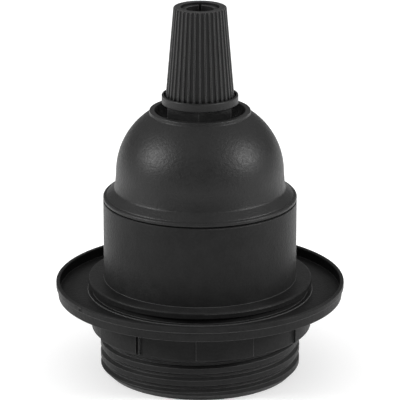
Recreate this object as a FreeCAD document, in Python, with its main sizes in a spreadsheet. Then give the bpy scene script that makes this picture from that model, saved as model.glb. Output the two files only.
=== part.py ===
"""Screw-cap lamp holder with a threaded skirt, a shade ring and a conical cord grip.

The holder hangs from its cord with the lamp below. +Z is up, towards the cord, and the
origin is at the centre of the skirt's bottom edge. Lengths are in millimetres.
"""
import FreeCAD, Part
import math
import os
import re
import Sketcher

SIZES = [
    # alias, value, meaning
    ("skirt_thread_r", 20.0, "crest radius of the 40 mm skirt thread"),
    ("skirt_pitch", 2.5, "pitch of the skirt thread"),
    ("skirt_depth", 0.65, "depth of the skirt thread"),
    ("skirt_crest", 1.05, "width of a thread crest"),
    ("skirt_groove", 0.35, "width of a thread groove at its bottom"),
    ("skirt_wall", 2.0, "wall of the skirt under its thread"),
    ("skirt_chamfer", 0.7, "chamfer round the skirt's bottom edge"),
    ("shell_r", 19.2, "outer radius of the shell above its flange"),
    ("shell_wall", 1.7, "wall of the shell above its ledge"),
    ("shell_top", 35.5, "height of the seam between shell and cap"),
    ("edge_round", 0.2, "small radius on moulded edges"),
    ("flange_r", 22.3, "radius of the fixed flange"),
    ("flange_top", 19.4, "height of the flange's upper face"),
    ("flange_thick", 1.35, "thickness of the flange"),
    ("flange_round", 0.35, "radius on the flange's upper edge"),
    ("socket_r", 13.3, "radius that the lamp's screw cap goes into"),
    ("socket_wall", 1.6, "wall of the lamp's screw sleeve"),
    ("socket_mouth", 0.8, "lead-in at the mouth of the sleeve"),
    ("socket_bottom", 5.0, "height of the sleeve's mouth inside the skirt"),
    ("socket_top", 16.0, "height at which the sleeve opens into the contact chamber"),
    ("chamber_r", 14.5, "radius of the contact chamber"),
    ("chamber_wall", 1.4, "wall of the contact chamber"),
    ("ledge_top", 23.5, "height of the ledge that carries the terminal block"),
    ("ledge_thick", 2.0, "thickness of that ledge"),
    ("web_bottom", 8.0, "lowest point of the webs between sleeve and skirt"),
    ("web_thick", 1.2, "thickness of each web"),
    ("ring_clearance", 0.2, "gap between the skirt thread and the ring's bore"),
    ("ring_hub_bottom", 9.1, "height of the ring hub's lower edge"),
    ("ring_hub_r", 21.77, "radius of the ring hub between its grips"),
    ("ring_grip_r", 22.22, "radius of the raised grips on the hub"),
    ("ring_grip_angle", 30.0, "angle that each grip covers"),
    ("ring_grip_start", -2.0, "angle from +X at which the first grip starts"),
    ("ring_land_r", 21.6, "radius of the land that meets the flange"),
    ("ring_seat_gap", 0.15, "gap between the flange's edge and the step in the tray"),
    ("ring_seat_step", 0.15, "height of that step"),
    ("ring_slot_width", 0.55, "width of the slot in the hub"),
    ("ring_slot_angle", -123.6, "angle of that slot from +X"),
    ("ring_rim_r", 28.77, "outer radius of the ring's rim bead"),
    ("ring_rim_top", 18.75, "height of the rim"),
    ("ring_rim_wall", 0.8, "wall of the rim"),
    ("ring_bead", 1.2, "height of the bead round the rim"),
    ("ring_bead_step", 0.25, "step under the bead"),
    ("ring_draft", 0.15, "draft on the outside of the rim's wall"),
    ("ring_tray_bottom", 15.83, "height of the tray's underside"),
    ("ring_tray_thick", 0.95, "thickness of the tray's floor"),
    ("ring_gate", 0.3, "how far the two moulding gates stand out of the rim"),
    ("ring_gate_angle", 35.5, "angle of the first moulding gate from +X"),
    ("neck_clearance", 0.3, "gap between the cap's neck and the shell's bore"),
    ("neck_wall", 1.9, "wall of the cap's neck"),
    ("seam_height", 0.25, "height of the shadow groove at the seam"),
    ("seam_depth", 0.5, "depth of that groove"),
    ("shoulder_top", 37.7, "height of the cap's flat shoulder"),
    ("shoulder_round", 1.4, "radius on the shoulder's edge"),
    ("dome_foot_r", 16.95, "radius of the dome where it meets the shoulder"),
    ("dome_r", 16.62, "radius of the dome where its curve starts"),
    ("dome_start", 41.2, "height at which the dome's curve starts"),
    ("dome_arc", 14.12, "radius of the dome's curve"),
    ("dome_wall", 1.8, "wall of the dome"),
    ("lip_foot_r", 9.99, "radius at which the dome's curve meets the lip"),
    ("lip_r", 9.92, "outer radius of the lip"),
    ("lip_top", 53.8, "height of the lip"),
    ("lip_round", 0.35, "radius on the lip's edges"),
    ("well_r", 8.93, "radius of the well inside the lip"),
    ("well_floor", 51.0, "height of the well's floor"),
    ("well_thick", 2.0, "thickness of the well's floor"),
    ("well_wall", 1.6, "wall round the well"),
    ("key_width", 3.0, "width of the keys that stop the block turning in the cap"),
    ("key_height", 1.0, "how far the keys stand into the neck's bore"),
    ("key_gap", 0.2, "gap round the keys"),
    ("grip_thread_r", 5.0, "radius of the 10 mm threads on the cord grip"),
    ("grip_fit", 0.06, "gap of the 10 mm threads"),
    ("grip_stub_bottom", 43.0, "height of the lower end of the cord grip's stub"),
    ("grip_hex", 12.4, "width across the flats of the cord grip's hexagon"),
    ("grip_hex_turn", 28.0, "angle of a corner of the hexagon from +X"),
    ("grip_bore_r", 3.2, "radius of the bore through the cord grip's body"),
    ("collar_r", 7.54, "radius of the cord grip's collar"),
    ("collar_bottom", 55.25, "height of the collar's lower edge"),
    ("collar_top", 57.0, "height of the collar's rim"),
    ("cup_floor", 56.0, "height of the cup in the collar"),
    ("cup_lip", 0.4, "wall of the cup"),
    ("stem_top", 62.0, "height of the threaded stem's end"),
    ("guide_floor", 57.0, "height of the step that the collet's sleeve goes down to"),
    ("collet_hole_r", 2.75, "radius of the hole that grips the cord"),
    ("collet_sleeve_wall", 0.9, "wall of the collet's sleeve"),
    ("collet_fit", 0.08, "gap round the collet's sleeve"),
    ("collet_foot_gap", 0.3, "gap under the collet's sleeve"),
    ("collet_key_width", 1.0, "width of the collet's keys"),
    ("collet_key_height", 0.7, "how far the collet's keys stand out"),
    ("collet_recess", 0.45, "how far the collet's jaws end below the nut's tip"),
    ("collet_slit", 0.6, "width of the slits between the jaws"),
    ("collet_slit_bottom", 64.0, "height at which the slits end"),
    ("collet_gap", 0.32, "gap between the jaws and the nut's cone"),
    ("nut_base_r", 6.78, "radius of the cord nut's foot"),
    ("nut_tip_r", 5.22, "radius of the cord nut's tip"),
    ("cone_top", 74.6, "height of the cord nut's tip"),
    ("nut_round", 0.3, "radius on the cord nut's tip"),
    ("nut_mouth_r", 3.87, "radius of the hole in the cord nut's tip"),
    ("cone_foot", 63.0, "height at which the nut's thread gives way to its cone"),
    ("flute_count", 36.0, "number of flutes round the cord nut"),
    ("flute_rise", 0.4, "height of the flutes' lower ends over the nut's foot"),
    ("flute_depth", 0.38, "depth of a flute"),
    ("flute_r", 0.42, "radius of a flute at its foot"),
    ("washer_r", 7.7, "radius of the lock washer"),
    ("washer_thick", 0.8, "thickness of the lock washer"),
    ("washer_gap", 0.15, "gap between the washer and the stub"),
    ("washer_notch_r", 0.55, "radius of the notches round the lock washer"),
    ("locknut_hex", 14.0, "width across the flats of the lock nut"),
    ("locknut_thick", 3.0, "thickness of the lock nut"),
    ("block_flange_gap", 0.3, "gap between the block's flange and the shell"),
    ("block_flange_thick", 2.0, "thickness of the block's flange"),
    ("block_gap", 0.4, "gap between the block and the neck's bore"),
    ("block_top", 35.0, "height of the terminal block"),
    ("trough_floor", 30.0, "height of the floor of the wiring trough"),
    ("trough_length", 8.6, "length of the wiring trough"),
    ("trough_width", 12.0, "width of the wiring trough"),
    ("terminal_x", 8.0, "distance of each terminal from the centre"),
    ("terminal_length", 7.0, "length of a terminal"),
    ("terminal_width", 5.5, "width of a terminal"),
    ("terminal_floor", 28.0, "height that the terminals stand on"),
    ("terminal_top", 34.5, "height of the terminals"),
    ("terminal_gap", 0.3, "gap round a terminal in its pocket"),
    ("wire_hole_r", 1.3, "radius of the hole for a wire"),
    ("wire_hole_z", 30.9, "height of the wire holes"),
    ("screw_r", 1.5, "radius of a terminal screw"),
    ("screw_fit", 0.05, "gap round a terminal screw"),
    ("screw_head_r", 2.5, "radius of a terminal screw's head"),
    ("screw_head_thick", 1.9, "height of a terminal screw's head"),
    ("screw_stand", 0.35, "gap under a terminal screw's head"),
    ("screw_slot_width", 0.7, "width of a screw's slot"),
    ("screw_slot_depth", 0.9, "depth of a screw's slot"),
    ("channel_depth", 1.9, "depth of the channels that hold the contacts' feet"),
    ("contact_thick", 0.4, "thickness of the contact strips"),
    ("contact_width", 4.4, "width of the contact strips"),
    ("contact_side_gap", 0.4, "gap beside a contact's foot in its channel"),
    ("contact_play", 0.5, "gap over a contact's foot, for its flexing"),
    ("centre_rivet_x", -8.5, "place of the centre contact's rivet"),
    ("centre_foot", 2.1, "length of the centre contact behind its rivet"),
    ("centre_drop", 3.3, "how far the centre contact reaches below its foot"),
    ("side_rivet_x", 10.3, "place of the side contact's rivet"),
    ("side_foot", 1.7, "length of the side contact behind its rivet"),
    ("side_contact_r", 13.4, "outer face of the side contact's upright"),
    ("side_bulge", 0.5, "how far the side contact bows in towards the lamp"),
    ("side_bulge_z", 18.3, "height of the side contact's bow"),
    ("side_tip_z", 16.9, "height of the side contact's tip"),
    ("second_side_angle", 120.0, "angle from the side contact to the second one"),
    ("link_width", 2.8, "width of the link between the two side contacts"),
    ("link_thick", 0.4, "thickness of that link"),
    ("link_overlap", 10.0, "angle by which the link reaches past each rivet"),
    ("link_gap", 0.15, "gap round the link in its channel"),
    ("rivet_r", 0.9, "radius of a rivet"),
    ("rivet_gap", 0.1, "gap round a rivet in the block"),
    ("rivet_play", 0.25, "gap round a rivet in its contact's foot"),
    ("rivet_head_r", 1.6, "radius of a rivet's head"),
    ("rivet_head_thick", 0.45, "thickness of a rivet's head"),
]
NAMES = {alias for alias, _, _ in SIZES}

document = FreeCAD.newDocument("LampHolder")


def fill_sheet():
    """Write the driving sizes into the document's spreadsheet."""
    cells = document.addObject("Spreadsheet::Sheet", "Sizes")
    for row, (alias, value, meaning) in enumerate(SIZES, start=1):
        cells.set(f"A{row}", meaning)
        cells.set(f"B{row}", str(value))
        cells.setAlias(f"B{row}", alias)
    document.recompute()
    return cells


sheet = fill_sheet()


def bound(text):
    """Point each size named in an expression at its cell."""
    return re.sub(r"[a-z][a-z_]*", lambda word: f"Sizes.{word[0]}" if word[0] in NAMES else word[0], text)


def number(text):
    """The value of an expression, to draw a sketch near its final shape."""
    value = sheet.evalExpression(bound(text))
    return float(getattr(value, "Value", value))


def origin_feature(body, role):
    """One of the body's own origin planes or axes."""
    return next(item for item in body.Origin.OriginFeatures if item.Role == role)


def new_body(label):
    body = document.addObject("PartDesign::Body", label)
    body.Label = label
    return body


def new_sketch(body, name, role, lift=None, turn=None):
    """A sketch on one of the body's planes, lifted off it and turned about the body's Z axis."""
    sketch = body.newObject("Sketcher::SketchObject", name)
    sketch.AttachmentSupport = [(origin_feature(body, role), "")]
    sketch.MapMode = "FlatFace"
    flat = role == "XY_Plane"
    if turn:
        axis = FreeCAD.Vector(0, 0, 1) if flat else FreeCAD.Vector(0, 1, 0)
        sketch.AttachmentOffset = FreeCAD.Placement(FreeCAD.Vector(), FreeCAD.Rotation(axis, 1))
        sketch.setExpression("AttachmentOffset.Rotation.Angle", bound(turn))
    if lift:
        sketch.setExpression("AttachmentOffset.Base.z", bound(lift))
    return sketch


def pin_point(sketch, index, which, corner, name):
    """Tie one end of a line or arc to its two coordinates."""
    for letter, text in zip("XY", corner):
        made = sketch.addConstraint(
            Sketcher.Constraint(f"Distance{letter}", -1, 1, index, which, number(text))
        )
        sketch.renameConstraint(made, f"{name}_{letter.lower()}")
        sketch.setExpression(f"Constraints.{name}_{letter.lower()}", bound(text))


def arc_between(here, there, radius, side):
    """The arc from one place to the next, round a centre on one side of the way (1 left, -1 right).

    A sketch's arc always runs counter-clockwise, so one with its centre on the right is drawn
    from its far end.
    """
    chord = math.dist(here, there)
    along = ((there[0] - here[0]) / chord, (there[1] - here[1]) / chord)
    reach = side * math.sqrt(max(radius**2 - chord**2 / 4, 0))
    x = (here[0] + there[0]) / 2 - along[1] * reach
    y = (here[1] + there[1]) / 2 + along[0] * reach
    first, last = (here, there) if side > 0 else (there, here)
    start = math.atan2(first[1] - y, first[0] - x)
    end = math.atan2(last[1] - y, last[0] - x)
    circle = Part.Circle(FreeCAD.Vector(x, y, 0), FreeCAD.Vector(0, 0, 1), radius)
    return Part.ArcOfCircle(circle, start, end if end > start else end + 2 * math.pi)


def draw_outline(sketch, corners):
    """Draw a closed outline through corners (x, y), each an expression.

    A third item is the radius of an arc to the next corner. Its centre lies to the left of
    the way from this corner to the next, or to the right if the radius starts with a minus.
    """
    places = [(number(corner[0]), number(corner[1])) for corner in corners]
    firsts = []
    for corner, here, there in zip(corners, places, places[1:] + places[:1]):
        side = 1
        if len(corner) == 2:
            piece = Part.LineSegment(FreeCAD.Vector(*here, 0), FreeCAD.Vector(*there, 0))
        else:
            side = -1 if corner[2].startswith("-") else 1
            piece = arc_between(here, there, number(corner[2].lstrip("-")), side)
        sketch.addGeometry(piece, False)
        firsts.append(1 if side > 0 else 2)
    for index, first in enumerate(firsts):
        after = (index + 1) % len(corners)
        sketch.addConstraint(Sketcher.Constraint("Coincident", index, 3 - first, after, firsts[after]))
    for index, corner in enumerate(corners):
        pin_point(sketch, index, firsts[index], corner[:2], f"p{index}")
        if len(corner) == 3:
            text = corner[2].lstrip("-")
            made = sketch.addConstraint(Sketcher.Constraint("Radius", index, number(text)))
            sketch.renameConstraint(made, f"r{index}")
            sketch.setExpression(f"Constraints.r{index}", bound(text))


def draw_circle(sketch, x, y, radius):
    centre = FreeCAD.Vector(number(x), number(y), 0)
    index = sketch.addGeometry(Part.Circle(centre, FreeCAD.Vector(0, 0, 1), number(radius)), False)
    pin_point(sketch, index, 3, (x, y), f"c{index}")
    made = sketch.addConstraint(Sketcher.Constraint("Radius", index, number(radius)))
    sketch.renameConstraint(made, f"c{index}_r")
    sketch.setExpression(f"Constraints.c{index}_r", bound(radius))


def box_outline(x_low, x_high, y_low, y_high):
    return [(x_low, y_low), (x_high, y_low), (x_high, y_high), (x_low, y_high)]


def hexagon(flats, turn="0"):
    """The corners of a hexagon of this width across its flats."""
    return [
        (f"({flats}) / sqrt(3) * cos({turn} + {60 * corner})",
         f"({flats}) / sqrt(3) * sin({turn} + {60 * corner})")
        for corner in range(6)
    ]


def revolve(body, name, corners, kind="PartDesign::Revolution", turn=None, angle=None):
    """Turn an outline in the XZ plane about the Z axis, to add or to cut."""
    sketch = new_sketch(body, f"{name}_outline", "XZ_Plane", turn=turn)
    draw_outline(sketch, corners)
    feature = body.newObject(kind, name)
    feature.Profile = sketch
    feature.ReferenceAxis = (sketch, ["V_Axis"])
    feature.Angle = 360
    if angle:
        feature.setExpression("Angle", bound(angle))
    return feature


def prism(body, name, lift, length, corners=None, circle=None, cut=False, turn=None):
    """Pad or pocket an outline or a circle upwards from a height."""
    sketch = new_sketch(body, f"{name}_outline", "XY_Plane", lift=lift, turn=turn)
    if corners:
        draw_outline(sketch, corners)
    if circle:
        draw_circle(sketch, *circle)
    feature = body.newObject("PartDesign::Pocket" if cut else "PartDesign::Pad", name)
    feature.Profile = sketch
    feature.Reversed = cut
    feature.setExpression("Length", bound(length))
    return feature


def strip(body, name, corners, width, turn=None):
    """Pad an outline in the XZ plane, or that plane turned, by half its width to each side."""
    sketch = new_sketch(body, f"{name}_outline", "XZ_Plane", turn=turn)
    draw_outline(sketch, corners)
    feature = body.newObject("PartDesign::Pad", name)
    feature.Profile = sketch
    feature.Midplane = True
    feature.setExpression("Length", bound(width))
    return feature


def repeat(body, name, feature, count):
    """Repeat a feature evenly round the Z axis."""
    pattern = body.newObject("PartDesign::PolarPattern", name)
    pattern.Originals = [feature]
    pattern.Axis = (origin_feature(body, "Z_Axis"), [""])
    pattern.Angle = 360
    pattern.Occurrences = count
    body.Tip = pattern
    return pattern


SKIRT_ROOT = "skirt_thread_r - skirt_depth"
SKIRT_BORE = f"{SKIRT_ROOT} - skirt_wall"
SHELL_BORE = "shell_r - shell_wall"
FLANGE_BOTTOM = "flange_top - flange_thick"
NECK_R = f"{SHELL_BORE} - neck_clearance"
NECK_BORE = f"{NECK_R} - neck_wall"
NECK_BOTTOM = "ledge_top + block_flange_thick"
COLLET_TOP = "cone_top - collet_recess"


def outer_shell():
    """Shell with the skirt thread, the flange, the lamp's screw sleeve and the block's ledge."""
    body = new_body("outer_shell")
    chamber_out = "chamber_r + chamber_wall"
    sleeve_out = "socket_r + socket_wall"
    revolve(body, "shell_wall", [
        (SKIRT_BORE, "0"),
        (f"{SKIRT_ROOT} - skirt_chamfer", "0"),
        (SKIRT_ROOT, "skirt_chamfer"),
        (SKIRT_ROOT, FLANGE_BOTTOM),
        ("flange_r - edge_round", FLANGE_BOTTOM, "edge_round"),
        ("flange_r", f"{FLANGE_BOTTOM} + edge_round"),
        ("flange_r", "flange_top - flange_round", "flange_round"),
        ("flange_r - flange_round", "flange_top"),
        ("shell_r", "flange_top"),
        ("shell_r", "shell_top - edge_round", "edge_round"),
        ("shell_r - edge_round", "shell_top"),
        (SHELL_BORE, "shell_top"),
        (SHELL_BORE, "ledge_top"),
        ("chamber_r", "ledge_top"),
        ("chamber_r", "socket_top"),
        ("socket_r", "socket_top"),
        ("socket_r", "socket_bottom + socket_mouth"),
        ("socket_r + socket_mouth", "socket_bottom"),
        (sleeve_out, "socket_bottom"),
        (sleeve_out, "socket_top - socket_wall"),
        (chamber_out, "socket_top - socket_wall"),
        (chamber_out, "ledge_top - ledge_thick"),
        (SKIRT_BORE, "ledge_top - ledge_thick"),
    ])
    web = prism(
        body,
        "web",
        "web_bottom",
        "ledge_top - ledge_thick / 2 - web_bottom",
        box_outline(f"{sleeve_out} - socket_wall / 2", f"{SKIRT_BORE} + skirt_wall / 2",
                    "-web_thick / 2", "web_thick / 2"),
    )
    repeat(body, "webs", web, 6)
    thread_outline = new_sketch(body, "thread_outline", "XZ_Plane")
    crest = "1.84 * skirt_pitch - 3 * skirt_pitch"
    half_foot = "(skirt_pitch - skirt_groove) / 2"
    draw_outline(thread_outline, [
        (f"{SKIRT_ROOT} - skirt_depth / 4", f"{crest} - {half_foot}"),
        (SKIRT_ROOT, f"{crest} - {half_foot}"),
        ("skirt_thread_r", f"{crest} - skirt_crest / 2"),
        ("skirt_thread_r", f"{crest} + skirt_crest / 2"),
        (SKIRT_ROOT, f"{crest} + {half_foot}"),
        (f"{SKIRT_ROOT} - skirt_depth / 4", f"{crest} + {half_foot}"),
    ])
    thread = body.newObject("PartDesign::AdditiveHelix", "skirt_thread")
    thread.Profile = thread_outline
    thread.ReferenceAxis = (thread_outline, ["V_Axis"])
    thread.Mode = "pitch-height-angle"
    thread.setExpression("Pitch", bound("skirt_pitch"))
    thread.setExpression("Height", bound(f"{FLANGE_BOTTOM} + skirt_pitch"))
    document.recompute()
    below = "3 * skirt_pitch"
    revolve(body, "trimmed_end", [
        (f"{SKIRT_BORE} + skirt_wall / 4", "0"),
        (f"{SKIRT_ROOT} - skirt_chamfer", "0"),
        (f"{SKIRT_ROOT} + skirt_pitch", "skirt_chamfer + skirt_pitch"),
        (f"{SKIRT_ROOT} + skirt_pitch", f"-({below})"),
        (f"{SKIRT_BORE} + skirt_wall / 4", f"-({below})"),
    ], "PartDesign::Groove")
    return body


def shade_ring():
    """Tray-shaped ring nut that screws up the skirt and holds a shade."""
    body = new_body("shade_ring")
    bore = "skirt_thread_r + ring_clearance"
    tray_top = "ring_tray_bottom + ring_tray_thick"
    bead_bottom = "ring_rim_top - ring_bead"
    wall_r = "ring_rim_r - ring_bead_step"
    rim_bore = "ring_rim_r - ring_rim_wall"
    seat_r = "flange_r + ring_seat_gap"
    revolve(body, "ring_wall", [
        (f"{bore} + edge_round", "ring_hub_bottom"),
        ("ring_hub_r - 2 * edge_round", "ring_hub_bottom", "2 * edge_round"),
        ("ring_hub_r", "ring_hub_bottom + 2 * edge_round"),
        ("ring_hub_r", "ring_tray_bottom"),
        (f"{wall_r} - ring_draft", "ring_tray_bottom"),
        (wall_r, bead_bottom),
        ("ring_rim_r", f"{bead_bottom} + ring_bead_step / 2"),
        ("ring_rim_r", "ring_rim_top - edge_round", "edge_round"),
        ("ring_rim_r - edge_round", "ring_rim_top"),
        (f"{rim_bore} + edge_round", "ring_rim_top", "edge_round"),
        (rim_bore, "ring_rim_top - edge_round"),
        (rim_bore, tray_top),
        (seat_r, tray_top),
        (seat_r, f"{tray_top} + ring_seat_step"),
        ("ring_land_r", f"{tray_top} + ring_seat_step"),
        ("ring_land_r", FLANGE_BOTTOM),
        (bore, FLANGE_BOTTOM),
        (bore, "ring_hub_bottom + edge_round"),
    ])
    grip = revolve(body, "grip", [
        ("ring_hub_r - ring_grip_r + ring_hub_r", "ring_hub_bottom + edge_round"),
        ("ring_grip_r - 2 * edge_round", "ring_hub_bottom + edge_round", "2 * edge_round"),
        ("ring_grip_r", "ring_hub_bottom + 3 * edge_round"),
        ("ring_grip_r", "ring_tray_bottom + ring_tray_thick / 2"),
        ("ring_hub_r - ring_grip_r + ring_hub_r", "ring_tray_bottom + ring_tray_thick / 2"),
    ], turn="ring_grip_start", angle="ring_grip_angle")
    grip.Reversed = True
    repeat(body, "grips", grip, 6)
    prism(
        body,
        "slot",
        "ring_hub_bottom - edge_round",
        "ring_tray_bottom - ring_hub_bottom + edge_round",
        box_outline("ring_hub_r / 2", "ring_grip_r + edge_round",
                    "-ring_slot_width / 2", "ring_slot_width / 2"),
        cut=True,
        turn="ring_slot_angle",
    )
    gate = prism(
        body,
        "gate",
        f"{bead_bottom} + ring_bead_step",
        "ring_bead - 2 * ring_bead_step",
        circle=("ring_rim_r - ring_rim_wall / 4", "0", "ring_gate + ring_rim_wall / 4"),
        turn="ring_gate_angle",
    )
    repeat(body, "gates", gate, 2)
    return body


def cap_dome():
    """Domed cap: a neck that screws into the shell, a shoulder, the dome and a well for the grip."""
    body = new_body("cap_dome")
    dome_axis = "dome_r - dome_arc"
    boss_r = "well_r + well_wall"
    inner_arc = "dome_arc - dome_wall"
    lip_foot = f"dome_start + sqrt(dome_arc^2 - (lip_foot_r - ({dome_axis}))^2)"
    boss_foot = f"dome_start + sqrt(({inner_arc})^2 - ({boss_r} - ({dome_axis}))^2)"
    revolve(body, "cap_wall", [
        (NECK_BORE, NECK_BOTTOM),
        (f"{NECK_R} - 2 * edge_round", NECK_BOTTOM),
        (NECK_R, f"{NECK_BOTTOM} + 2 * edge_round"),
        (NECK_R, "shell_top"),
        ("shell_r - seam_depth", "shell_top"),
        ("shell_r - seam_depth", "shell_top + seam_height"),
        ("shell_r", "shell_top + seam_height"),
        ("shell_r", "shoulder_top - shoulder_round", "shoulder_round"),
        ("shell_r - shoulder_round", "shoulder_top"),
        ("dome_foot_r", "shoulder_top"),
        ("dome_r", "dome_start", "dome_arc"),
        ("lip_foot_r", lip_foot),
        ("lip_r", "lip_top - lip_round", "lip_round"),
        ("lip_r - lip_round", "lip_top"),
        ("well_r + lip_round", "lip_top", "lip_round"),
        ("well_r", "lip_top - lip_round"),
        ("well_r", "well_floor"),
        ("grip_thread_r + washer_gap", "well_floor"),
        ("grip_thread_r + washer_gap", "well_floor - well_thick"),
        (boss_r, "well_floor - well_thick"),
        (boss_r, boss_foot, "-(dome_arc - dome_wall)"),
        ("dome_r - dome_wall", "dome_start"),
        ("dome_r - dome_wall", "shoulder_top"),
        (NECK_BORE, "shell_top"),
    ])
    key = prism(
        body,
        "key",
        NECK_BOTTOM,
        f"shell_top - ({NECK_BOTTOM})",
        box_outline("-key_width / 2", "key_width / 2",
                    f"{NECK_BORE} - key_height", f"{NECK_BORE} + neck_wall / 2"),
    )
    repeat(body, "keys", key, 2)
    return body


def cord_grip_body():
    """Body of the cord grip: threaded stub, hexagon, collar with its cup, and threaded stem."""
    body = new_body("cord_grip_body")
    guide_r = "collet_hole_r + collet_sleeve_wall + collet_fit"
    core_r = "grip_hex / 2 - edge_round"
    revolve(body, "grip_wall", [
        ("grip_bore_r", "grip_stub_bottom"),
        ("grip_thread_r - 2 * edge_round", "grip_stub_bottom"),
        ("grip_thread_r", "grip_stub_bottom + 2 * edge_round"),
        ("grip_thread_r", "well_floor"),
        (core_r, "well_floor"),
        (core_r, "collar_bottom"),
        ("collar_r - edge_round", "collar_bottom", "edge_round"),
        ("collar_r", "collar_bottom + edge_round"),
        ("collar_r", "collar_top - edge_round", "edge_round"),
        ("collar_r - edge_round", "collar_top"),
        ("collar_r - cup_lip", "collar_top"),
        ("collar_r - cup_lip", "cup_floor"),
        ("grip_thread_r", "cup_floor"),
        ("grip_thread_r", "stem_top - edge_round"),
        ("grip_thread_r - edge_round", "stem_top"),
        (guide_r, "stem_top"),
        (guide_r, "guide_floor"),
        ("grip_bore_r", "guide_floor"),
    ])
    hexagon_pad = prism(body, "hexagon", "well_floor", "collar_bottom - well_floor", hexagon("grip_hex"),
                        turn="grip_hex_turn")
    hexagon_pad.Refine = True
    prism(body, "bore", "grip_stub_bottom", "guide_floor - grip_stub_bottom",
          circle=("0", "0", "grip_bore_r"), cut=True)
    slot = prism(
        body,
        "key_slot",
        "guide_floor",
        "stem_top - guide_floor",
        box_outline("0", f"{guide_r} + collet_key_height",
                    "-collet_key_width / 2 - collet_fit", "collet_key_width / 2 + collet_fit"),
        cut=True,
    )
    repeat(body, "key_slots", slot, 2)
    return body


def cord_grip_collet():
    """Split collet that the nut's cone closes on the cord."""
    body = new_body("cord_grip_collet")
    sleeve_r = "collet_hole_r + collet_sleeve_wall"
    revolve(body, "collet_wall", [
        ("collet_hole_r", "guide_floor + collet_foot_gap"),
        (sleeve_r, "guide_floor + collet_foot_gap"),
        (sleeve_r, "stem_top"),
        ("grip_thread_r + grip_fit - collet_gap", "stem_top"),
        ("grip_thread_r + grip_fit - collet_gap", "cone_foot"),
        ("nut_mouth_r - collet_gap", COLLET_TOP),
        ("collet_hole_r", COLLET_TOP),
    ])
    key = prism(
        body,
        "key",
        "guide_floor + collet_foot_gap",
        "stem_top - guide_floor - collet_foot_gap",
        box_outline("collet_hole_r + collet_sleeve_wall / 2",
                    f"{sleeve_r} + collet_key_height - collet_fit",
                    "-collet_key_width / 2", "collet_key_width / 2"),
    )
    repeat(body, "keys", key, 2)
    slit = prism(
        body,
        "slit",
        "collet_slit_bottom",
        f"{COLLET_TOP} - collet_slit_bottom",
        box_outline("-grip_thread_r", "grip_thread_r", "-collet_slit / 2", "collet_slit / 2"),
        cut=True,
    )
    cross_slit = prism(
        body,
        "cross_slit",
        "collet_slit_bottom",
        f"{COLLET_TOP} - collet_slit_bottom",
        box_outline("-collet_slit / 2", "collet_slit / 2", "-grip_thread_r", "grip_thread_r"),
        cut=True,
    )
    body.Tip = cross_slit
    return body


def cord_grip_nut():
    """Fluted conical nut."""
    body = new_body("cord_grip_nut")
    bore = "grip_thread_r + grip_fit"
    revolve(body, "nut_wall", [
        (bore, "cup_floor"),
        ("nut_base_r - edge_round", "cup_floor", "edge_round"),
        ("nut_base_r", "cup_floor + edge_round"),
        ("nut_tip_r", "cone_top - nut_round", "nut_round"),
        ("nut_tip_r - nut_round", "cone_top"),
        ("nut_mouth_r", "cone_top"),
        ("nut_mouth_r", COLLET_TOP),
        (bore, "cone_foot"),
    ])
    slope = "(nut_base_r - nut_tip_r) / (cone_top - nut_round - cup_floor - edge_round)"
    foot_r = f"nut_base_r - {slope} * (flute_rise - edge_round)"
    half_step = "180 / flute_count"
    foot = new_sketch(body, "flute_foot", "XY_Plane", lift="cup_floor + flute_rise", turn=half_step)
    draw_circle(foot, f"{foot_r} + flute_r - flute_depth", "0", "flute_r")
    narrowing = "nut_tip_r / nut_base_r"
    head = new_sketch(body, "flute_head", "XY_Plane", lift="cone_top + nut_round", turn=half_step)
    head_r = f"nut_tip_r - {slope} * nut_round * 2 + (flute_r - flute_depth) * {narrowing}"
    draw_circle(head, head_r, "0", f"flute_r * {narrowing}")
    flute = body.newObject("PartDesign::SubtractiveLoft", "flute")
    flute.Profile = foot
    flute.Sections = [head]
    flute.Ruled = True
    document.recompute()
    repeat(body, "flutes", flute, round(number("flute_count")))
    return body


def lock_washer():
    """Toothed washer under the lock nut."""
    body = new_body("lock_washer")
    top = "well_floor - well_thick"
    revolve(body, "washer_wall", [
        ("grip_thread_r + washer_gap", f"{top} - washer_thick"),
        ("washer_r", f"{top} - washer_thick"),
        ("washer_r", top),
        ("grip_thread_r + washer_gap", top),
    ])
    notch = prism(body, "notch", f"{top} - washer_thick", "washer_thick",
                  circle=("washer_r", "0", "washer_notch_r"), cut=True)
    repeat(body, "notches", notch, 12)
    return body


def lock_nut():
    """Hexagon nut that holds the cord grip in the cap."""
    body = new_body("lock_nut")
    top = "well_floor - well_thick - washer_thick"
    prism(body, "nut", f"{top} - locknut_thick", "locknut_thick", hexagon("locknut_hex"))
    corner = "locknut_hex / sqrt(3)"
    flat = "locknut_hex / 2"
    revolve(body, "chamfer", [
        (flat, f"{top} - locknut_thick"),
        (f"{corner} + edge_round",
         f"{top} - locknut_thick + ({corner} + edge_round - {flat}) * tan(30)"),
        (f"{corner} + edge_round", f"{top} - locknut_thick - edge_round"),
        (flat, f"{top} - locknut_thick - edge_round"),
    ], "PartDesign::Groove")
    prism(body, "bore", f"{top} - locknut_thick", "locknut_thick",
          circle=("0", "0", "grip_thread_r + grip_fit"), cut=True)
    return body


CHANNEL_ROOF = "ledge_top + channel_depth"
LINK_TOP = f"{CHANNEL_ROOF} + link_thick"
FOOT_TOP = f"{CHANNEL_ROOF} - contact_play"
FOOT_BOTTOM = f"{FOOT_TOP} - contact_thick"
HALF_CHANNEL = "contact_width / 2 + contact_side_gap"


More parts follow.
